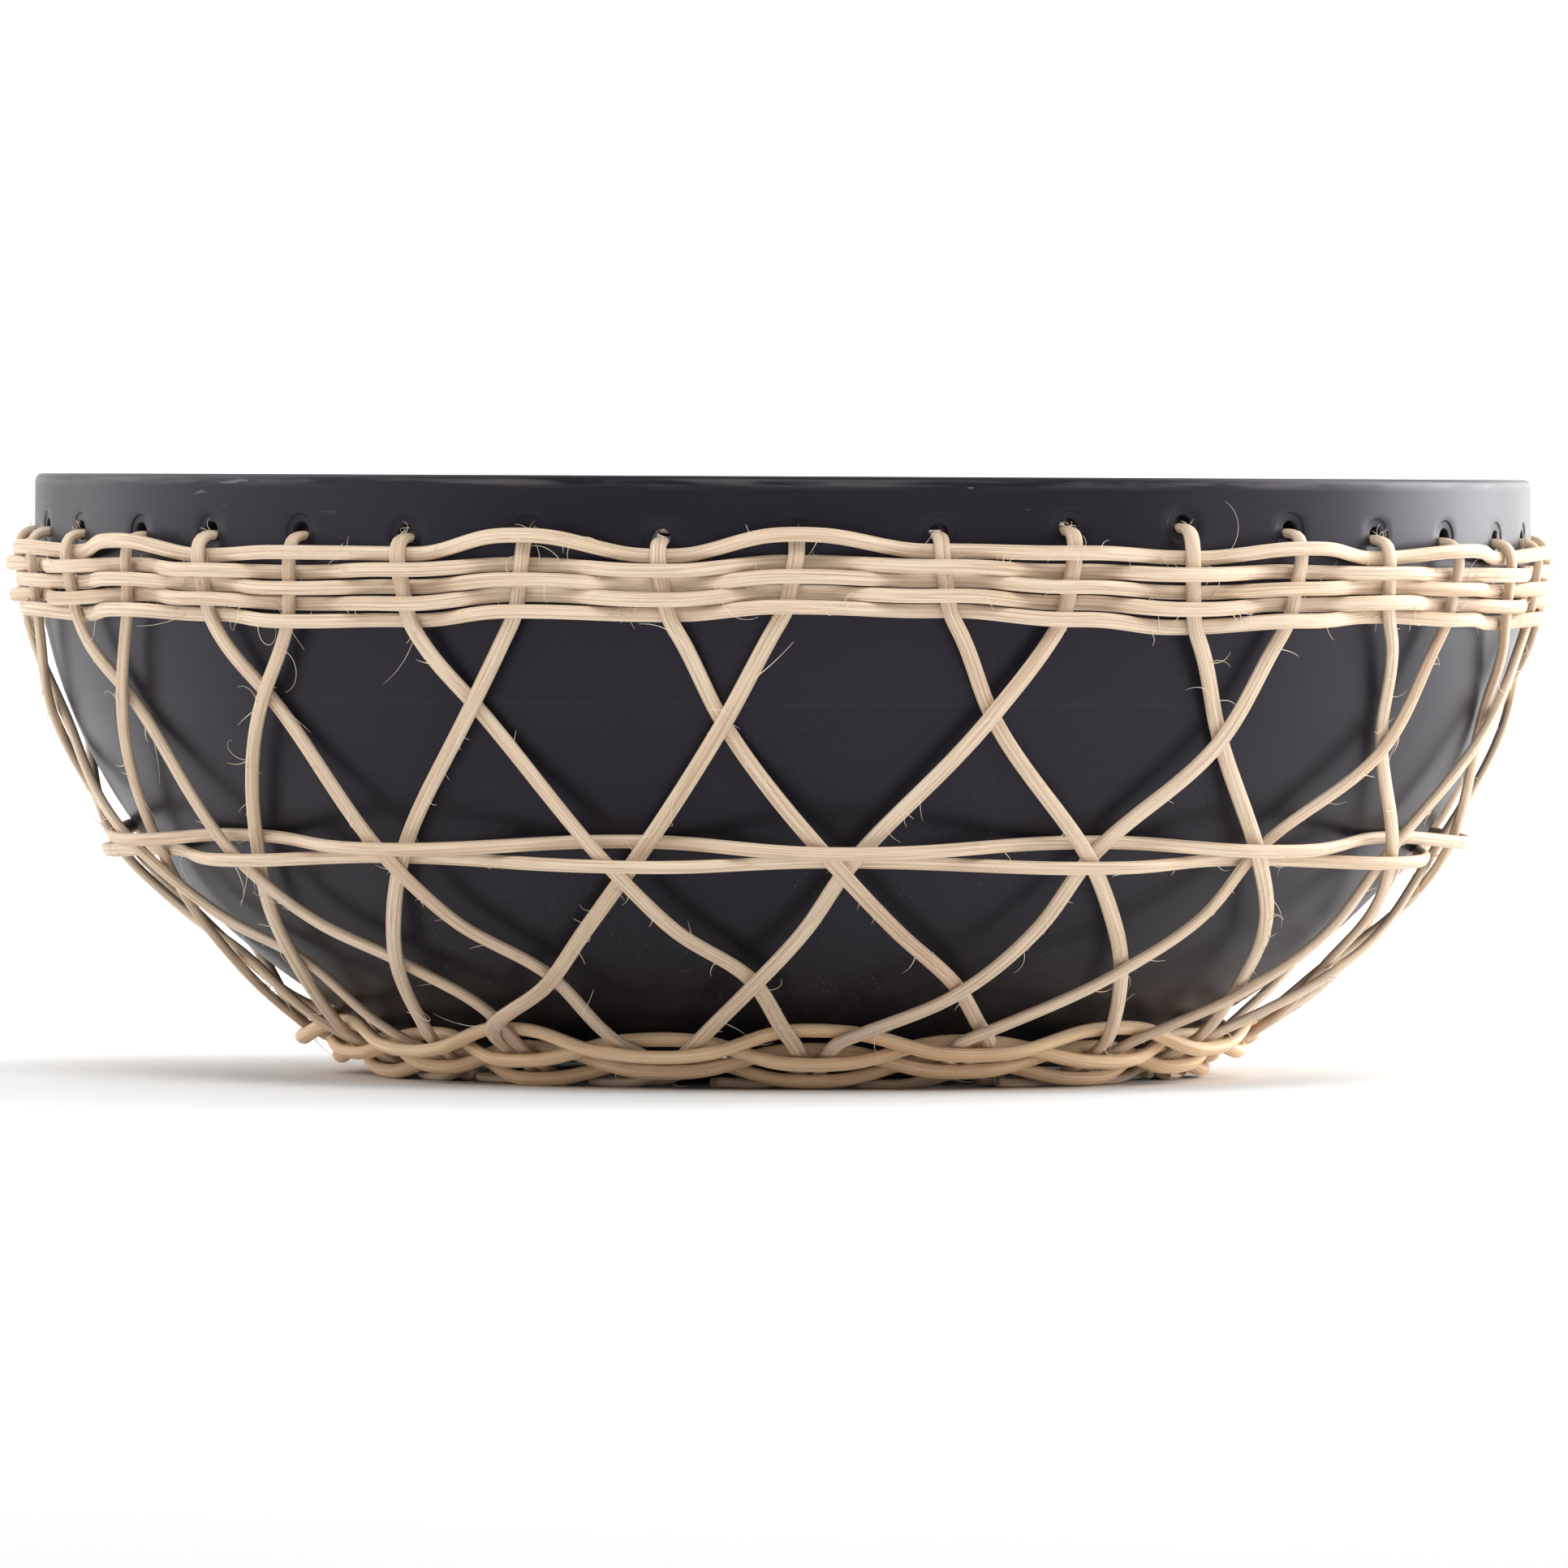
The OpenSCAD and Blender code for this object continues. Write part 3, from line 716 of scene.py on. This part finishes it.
def fibre_mesh(seed, count):
    """Hair-thin splinters that have lifted off the canes, and frayed tufts at the holes."""
    rng = np.random.default_rng(seed)
    verts, quads = [], []
    # Each route is as likely as the next, so the long rows are in the list several times
    routes = [fine_route(leg(k), False, rng, 3.0, 0.0) for k in range(STAKES)]
    for stations, times in (
            ([band_row_stations(i) for i in range(BAND_ROWS)], 4),
            ([ring_row_stations(i) for i in range(RING_ROWS)], 2),
            ([base_row_stations(i) for i in range(BASE_ROWS)], 1)):
        routes += [fine_route(row, True, rng, 3.0, 0.0) for row in stations] * times
    for _ in range(count):
        p, face, _ = routes[rng.integers(len(routes))]
        i = int(rng.integers(8, len(p) - 8))
        forward = unit(p[i + 1] - p[i - 1]) * rng.choice([-1, 1])
        side = np.cross(forward, face[i])
        start = p[i] + face[i] * CANE_T * 0.42 + side * rng.uniform(-1.5, 1.5)
        long = rng.random() < LONG_SHARE
        length = rng.uniform(9, 20) if long else rng.uniform(2, 8)
        curl = rng.uniform(-4.5, 4.5) if long else rng.uniform(-2.4, 2.4)
        lift = rng.uniform(0.15, 0.5) if long else rng.uniform(0.2, 0.9)
        steps = 14 if long else 7
        forward, side = spun(forward, side, rng.uniform(-1.3, 1.3))
        spine = curled(start, forward, side, face[i], length, curl, lift, steps)
        add_hair(verts, quads, spine, face[i], rng.uniform(0.08, 0.15))
    for k in range(STAKES):
        if rng.random() < TUFT_SHARE:
            add_tuft(verts, quads, k, rng)
    return smooth_mesh("loose_fibres", verts, quads)


def spun(forward, side, turn):
    """The two directions after a turn away from the cane's run."""
    c, s = math.cos(turn), math.sin(turn)
    return forward * c + side * s, side * c - forward * s


def curled(start, forward, side, out, length, curl, lift, steps):
    """Points along a hair that leaves a cane, bends sideways and stays above the floor."""
    spine, at, turn = [], start, 0.0
    for s in range(steps):
        spine.append(np.array([at[0], at[1], max(at[2], 0.3)]))
        turn += curl / steps
        at = at + length / steps * unit(
            forward * math.cos(turn) + side * math.sin(turn) + out * lift * (1 - s / steps))
    return np.array(spine)


def add_tuft(verts, quads, k, rng):
    """A few frayed fibres on the bend where a stake comes out of its hole."""
    a = stake_angle(k)
    out = np.array([sind(a), -cosd(a), 0.0])
    round_bowl = np.array([cosd(a), sind(a), 0.0])
    up = np.array([0.0, 0.0, 1.0])
    top = stake_hole_z(k) - HOLE_DROP + CANE_T / 2 - 0.2
    for _ in range(int(rng.integers(2, 6))):
        start = out * (BOWL_R + rng.uniform(0.3, 2.2)) + round_bowl * rng.uniform(-1.7, 1.7) + up * top
        forward = unit(out * rng.uniform(-0.1, 0.6) + round_bowl * rng.uniform(-1.2, 1.2)
                       + up * rng.uniform(0.2, 1))
        spine = curled(start, forward, round_bowl, up, rng.uniform(1.5, 6.5), rng.uniform(-3, 3),
                       rng.uniform(0, 0.3), 7)
        add_hair(verts, quads, spine, out, rng.uniform(0.06, 0.12))


def add_hair(verts, quads, spine, out, radius):
    """A closed four-sided tube along the spine, which thins towards its tip."""
    direction = unit(np.gradient(spine, axis=0))
    up = unit(out - (direction @ out)[:, None] * direction)
    side = np.cross(direction, up)
    first = len(verts)
    for i, p in enumerate(spine):
        r = radius * (1 - 0.75 * i / (len(spine) - 1))
        for j in range(HAIR_SIDES):
            c, s = cosd(90 * j), sind(90 * j)
            verts.append(tuple((p + r * (c * side[i] + s * up[i])) * MM))
    for i in range(len(spine) - 1):
        for j in range(HAIR_SIDES):
            a = first + i * HAIR_SIDES + j
            b = first + i * HAIR_SIDES + (j + 1) % HAIR_SIDES
            quads.append((a, b, b + HAIR_SIDES, a + HAIR_SIDES))
    last = first + (len(spine) - 1) * HAIR_SIDES
    quads.append(tuple(first + j for j in reversed(range(HAIR_SIDES))))
    quads.append(tuple(last + j for j in range(HAIR_SIDES)))


# ---------------------------------------------------------------- materials
def new_material(name):
    """A new node material, with its nodes and links."""
    mat = bpy.data.materials.new(name)
    mat.use_nodes = True
    return mat, mat.node_tree.nodes, mat.node_tree.links


def ramp(nodes, stops):
    """A colour ramp through (position, colour) stops."""
    node = nodes.new("ShaderNodeValToRGB")
    node.color_ramp.elements[0].position = stops[0][0]
    node.color_ramp.elements[0].color = (*stops[0][1], 1)
    node.color_ramp.elements[1].position = stops[-1][0]
    node.color_ramp.elements[1].color = (*stops[-1][1], 1)
    for at, colour in stops[1:-1]:
        node.color_ramp.elements.new(at).color = (*colour, 1)
    return node


def noise(nodes, links, coords, scale, size, detail=3.0, rough=0.55):
    """A noise texture on coordinates stretched by scale."""
    stretch = nodes.new("ShaderNodeMapping")
    stretch.inputs["Scale"].default_value = scale
    links.new(coords, stretch.inputs["Vector"])
    node = nodes.new("ShaderNodeTexNoise")
    node.inputs["Scale"].default_value = size
    node.inputs["Detail"].default_value = detail
    node.inputs["Roughness"].default_value = rough
    links.new(stretch.outputs["Vector"], node.inputs["Vector"])
    return node.outputs["Fac"]


def mix(nodes, links, a, b, fac, blend="MIX"):
    """The mixed colour of two sockets or fixed colours."""
    node = nodes.new("ShaderNodeMix")
    node.data_type = "RGBA"
    node.blend_type = blend
    for value, socket in ((fac, node.inputs[0]), (a, node.inputs[6]), (b, node.inputs[7])):
        if isinstance(value, bpy.types.NodeSocket):
            links.new(value, socket)
        else:
            socket.default_value = value
    return node.outputs[2]


def cane_finish(name, light, tan, dark, rough):
    """Rattan: long fine grain, pale with tan streaks, and a few dark marks.

    The grain's scales are along the cane and round it.
    """
    mat, nodes, links = new_material(name)
    shader = nodes["Principled BSDF"]
    uv = nodes.new("ShaderNodeUVMap")
    uv.uv_map = "route"
    coords = uv.outputs["UV"]
    slow = noise(nodes, links, coords, (5, 1.5, 1), 1.0, 2.0)
    streak = noise(nodes, links, coords, (16, 18, 1), 1.0, 5.0, 0.7)
    fine = noise(nodes, links, coords, (45, 46, 1), 1.0, 3.0, 0.6)
    marks = noise(nodes, links, coords, (150, 24, 1), 1.0, 2.0)
    # Tan and pale streaks, under a slow change of tone
    body = ramp(nodes, [(0.38, tan), (0.53, light), (0.70, [min(0.95, c * 1.1) for c in light])])
    links.new(streak, body.inputs[0])
    tone = ramp(nodes, [(0.32, (0.84, 0.75, 0.68)), (0.5, (1, 0.98, 0.96)), (0.68, (1, 1, 1))])
    links.new(slow, tone.inputs[0])
    toned = mix(nodes, links, body.outputs[0], tone.outputs[0], 0.9, "MULTIPLY")
    # Fine darker lines, and short dark marks
    lines = ramp(nodes, [(0.34, (0.75, 0.75, 0.75)), (0.48, (0, 0, 0))])
    links.new(fine, lines.inputs[0])
    lined = mix(nodes, links, toned, (*[(t + d) / 2 for t, d in zip(tan, dark)], 1), lines.outputs[0])
    spots = ramp(nodes, [(0.72, (0, 0, 0)), (0.78, (0.7, 0.7, 0.7))])
    links.new(marks, spots.inputs[0])
    spotted = mix(nodes, links, lined, (*dark, 1), spots.outputs[0])
    links.new(spotted, shader.inputs["Base Color"])
    shader.inputs["Roughness"].default_value = rough
    shader.inputs["Specular IOR Level"].default_value = 0.3
    bump = nodes.new("ShaderNodeBump")
    bump.inputs["Strength"].default_value = 0.6
    bump.inputs["Distance"].default_value = 0.00016
    links.new(streak, bump.inputs["Height"])
    bump_fine = nodes.new("ShaderNodeBump")
    bump_fine.inputs["Strength"].default_value = 0.5
    bump_fine.inputs["Distance"].default_value = 0.00008
    links.new(fine, bump_fine.inputs["Height"])
    links.new(bump.outputs["Normal"], bump_fine.inputs["Normal"])
    links.new(bump_fine.outputs["Normal"], shader.inputs["Normal"])
    return mat


def fibre_finish():
    """Loose fibres, paler than the canes."""
    mat, nodes, links = new_material("pale_fibre")
    shader = nodes["Principled BSDF"]
    coords = nodes.new("ShaderNodeTexCoord").outputs["Object"]
    tone = ramp(nodes, [(0.35, (0.78, 0.62, 0.42)), (0.6, (0.95, 0.87, 0.72))])
    links.new(noise(nodes, links, coords, (1, 1, 1), 90.0, 2.0), tone.inputs[0])
    links.new(tone.outputs[0], shader.inputs["Base Color"])
    shader.inputs["Roughness"].default_value = 0.45
    return mat


def bowl_finish():
    """Satin black, with faint lathe lines, a painted highlight along the rubbed rim edge, chips near
    it, and dust specks.
    """
    mat, nodes, links = new_material("satin_black")
    shader = nodes["Principled BSDF"]
    coords = nodes.new("ShaderNodeTexCoord").outputs["Object"]
    parts = nodes.new("ShaderNodeSeparateXYZ")
    links.new(coords, parts.inputs["Vector"])
    tallest = 0.2
    height = nodes.new("ShaderNodeMath")
    height.operation = "DIVIDE"
    height.inputs[1].default_value = tallest
    links.new(parts.outputs["Z"], height.inputs[0])

    def at_height(stops):
        """A grey value for each height in metres."""
        node = ramp(nodes, [(z / tallest, (v, v, v)) for z, v in stops])
        links.new(height.outputs[0], node.inputs[0])
        return node.outputs[0]

    cloud = noise(nodes, links, coords, (1, 1, 1), 9.0, 3.0)
    lathe = noise(nodes, links, coords, (4, 4, 260), 1.0, 3.0, 0.6)
    tone = ramp(nodes, [(0.3, (0.0100, 0.0088, 0.0125)), (0.7, (0.0145, 0.0132, 0.0175))])
    links.new(cloud, tone.inputs[0])

    # A shallow line turned round the middle
    groove = at_height([(0.1012, 0), (0.1016, 0.25), (0.1020, 0)])
    turned = mix(nodes, links, tone.outputs[0], (0.028, 0.026, 0.031, 1), groove)

    # Painted highlight along the rim's outer edge, where the lit bevel catches the light, broken into
    # rubbed patches
    rubbed_highlight_patches = ramp(nodes, [(0.42, (0, 0, 0)), (0.62, (1, 1, 1))])
    links.new(noise(nodes, links, coords, (26, 26, 300), 1.0, 3.0, 0.6), rubbed_highlight_patches.inputs[0])
    edge = at_height([(0.1568, 0), (0.1580, 1), (0.1586, 1), (0.1594, 0)])
    rim_highlight_mask = mix(nodes, links, edge, rubbed_highlight_patches.outputs[0], 1.0, "MULTIPLY")
    # The rim edge is painted a lighter grey here, as its highlight
    rim_highlighted = mix(nodes, links, turned, (0.085, 0.078, 0.080, 1), rim_highlight_mask)

    # Chips near the rim
    chips = ramp(nodes, [(0.70, (0, 0, 0)), (0.74, (1, 1, 1))])
    links.new(noise(nodes, links, coords, (90, 90, 420), 1.0, 2.0, 0.5), chips.inputs[0])
    near_rim = at_height([(0.1490, 0), (0.1570, 1)])
    chipped = mix(nodes, links, near_rim, chips.outputs[0], 1.0, "MULTIPLY")
    scuffed = mix(nodes, links, rim_highlighted, (0.13, 0.12, 0.12, 1), chipped)

    # Dust specks, in drifts, thickest low down
    specks = nodes.new("ShaderNodeTexVoronoi")
    specks.inputs["Scale"].default_value = 700.0
    links.new(coords, specks.inputs["Vector"])
    dots = ramp(nodes, [(0.07, (1, 1, 1)), (0.13, (0, 0, 0))])
    links.new(specks.outputs["Distance"], dots.inputs[0])
    drift = ramp(nodes, [(0.40, (0.15, 0.15, 0.15)), (0.60, (1, 1, 1))])
    links.new(noise(nodes, links, coords, (1, 1, 1), 30.0, 2.0), drift.inputs[0])
    settled = at_height([(0.02, 1), (0.055, 0.55), (0.09, 0.2), (0.16, 0.1)])
    thick = mix(nodes, links, drift.outputs[0], settled, 1.0, "MULTIPLY")
    dust = mix(nodes, links, dots.outputs[0], thick, 1.0, "MULTIPLY")
    dusty = mix(nodes, links, scuffed, (0.27, 0.235, 0.18, 1), dust)
    links.new(dusty, shader.inputs["Base Color"])

    gloss = ramp(nodes, [(0.3, (0.33, 0.33, 0.33)), (0.75, (0.41, 0.41, 0.41))])
    links.new(cloud, gloss.inputs[0])
    links.new(gloss.outputs[0], shader.inputs["Roughness"])
    shader.inputs["Specular IOR Level"].default_value = 0.24
    shader.inputs["Specular Tint"].default_value = (0.87, 0.82, 1, 1)
    bump = nodes.new("ShaderNodeBump")
    bump.inputs["Strength"].default_value = 0.12
    bump.inputs["Distance"].default_value = 0.0001
    links.new(lathe, bump.inputs["Height"])
    links.new(bump.outputs["Normal"], shader.inputs["Normal"])
    return mat


def floor_finish():
    """Pale and matt from the front, and clear from behind, so that it never hides the bowl."""
    mat, nodes, links = new_material("pale_floor")
    shader = nodes["Principled BSDF"]
    coords = nodes.new("ShaderNodeTexCoord").outputs["Object"]
    cloud = noise(nodes, links, coords, (1, 1, 1), 2.0)
    tone = ramp(nodes, [(0.3, (0.91, 0.91, 0.91)), (0.7, (0.94, 0.94, 0.94))])
    links.new(cloud, tone.inputs[0])
    links.new(tone.outputs[0], shader.inputs["Base Color"])
    shader.inputs["Roughness"].default_value = 0.9
    shader.inputs["Specular IOR Level"].default_value = 0.1
    sides = nodes.new("ShaderNodeMixShader")
    links.new(nodes.new("ShaderNodeNewGeometry").outputs["Backfacing"], sides.inputs[0])
    links.new(shader.outputs[0], sides.inputs[1])
    links.new(nodes.new("ShaderNodeBsdfTransparent").outputs[0], sides.inputs[2])
    links.new(sides.outputs[0], nodes["Material Output"].inputs["Surface"])
    return mat


# ---------------------------------------------------------------- stage and lights
def make_stage():
    """A pale floor that curves up into a backdrop."""
    half = 6.0
    front = -6.0
    back = 3.5
    bend = 1.2
    top = 5.0
    steps = 16
    profile = [(front, 0.0)]
    profile += [
        (back - bend + bend * sind(90 * i / steps), bend - bend * cosd(90 * i / steps))
        for i in range(steps + 1)]
    profile += [(back, top)]
    verts = [(x, y, z) for y, z in profile for x in (-half, half)]
    quads = [(2 * i, 2 * i + 1, 2 * i + 3, 2 * i + 2) for i in range(len(profile) - 1)]
    me = smooth_mesh("floor", verts, quads)
    me.materials.append(floor_finish())
    floor = bpy.data.objects.new("floor", me)
    bpy.context.collection.objects.link(floor)
    floor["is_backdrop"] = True


def area_light(name, at, target, width, height, power):
    """A soft box that faces its target, in metres and watts."""
    data = bpy.data.lights.new(name, "AREA")
    data.shape = "RECTANGLE"
    data.size, data.size_y = width, height
    data.energy = power
    lamp = bpy.data.objects.new(name, data)
    lamp.location = at
    lamp.rotation_euler = (Vector(target) - Vector(at)).to_track_quat("-Z", "Y").to_euler()
    bpy.context.collection.objects.link(lamp)


def make_lights():
    """Soft boxes at the sides and behind, two over the floor, and one high in front."""
    centre = (0, 0, 0.08)
    area_light("left_box", (-2.1, -0.7, 0.7), centre, 2.0, 1.8, 15)
    area_light("left_back_box", (-2.0, 1.0, 0.7), centre, 1.6, 1.6, 14)
    area_light("right_box", (2.1, -0.5, 0.8), centre, 1.6, 1.8, 12)
    area_light("right_back_box", (1.85, 1.0, 0.5), centre, 1.5, 1.5, 58)
    area_light("right_edge_box", (1.15, 2.1, 0.45), centre, 0.9, 1.2, 7)
    area_light("right_floor_box", (1.5, 0.9, 1.5), (1.3, 0.7, 0), 1.2, 1.2, 22)
    area_light("left_floor_box", (-1.5, 0.7, 1.5), (-1.3, 0.5, 0), 1.2, 1.2, 10)
    area_light("high_front", (0.2, -2.0, 2.6), centre, 1.8, 1.4, 51)
    area_light("backdrop_light", (0, 1.2, 2.6), (0, 3.3, 0.9), 3.5, 1.0, 75)
    world = bpy.data.worlds.new("world")
    world.use_nodes = True
    world.node_tree.nodes["Background"].inputs[0].default_value = (1, 1, 1, 1)
    world.node_tree.nodes["Background"].inputs[1].default_value = 0.2
    bpy.context.scene.world = world


def main():
    """The whole scene: camera, floor, lights, the bowl, its canes and their loose fibres."""
    make_camera()
    make_stage()
    make_lights()
    stake_finish = cane_finish(
        "stake_rattan", (0.80, 0.66, 0.505), (0.58, 0.415, 0.285), (0.36, 0.21, 0.11), 0.52)
    row_finish = cane_finish(
        "row_rattan", (0.86, 0.71, 0.54), (0.62, 0.45, 0.305), (0.38, 0.23, 0.12), 0.52)
    # The base rows' rattan is paler and warmer than the rest: partly its own warmer tone, partly
    # painted light that stands in for the bounce from the floor
    base_finish_painted_bright = cane_finish(
        "base_rattan_painted_bright", (0.97, 0.72, 0.47), (0.84, 0.56, 0.33), (0.32, 0.18, 0.09), 0.55)
    add("turned_bowl", bowl_mesh(), bowl_finish(), "bowl", "bowl")
    make_canes(stake_finish, row_finish, base_finish_painted_bright)
    add("loose_fibres", fibre_mesh(seed=7, count=1500), fibre_finish(), "row_cane")
    bpy.context.scene.view_settings.view_transform = "Standard"


main()
boxes = {"cad": CAD_BOX, "visual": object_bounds()}
{k: [[float(c) for c in corner] for corner in v] for k, v in boxes.items()}
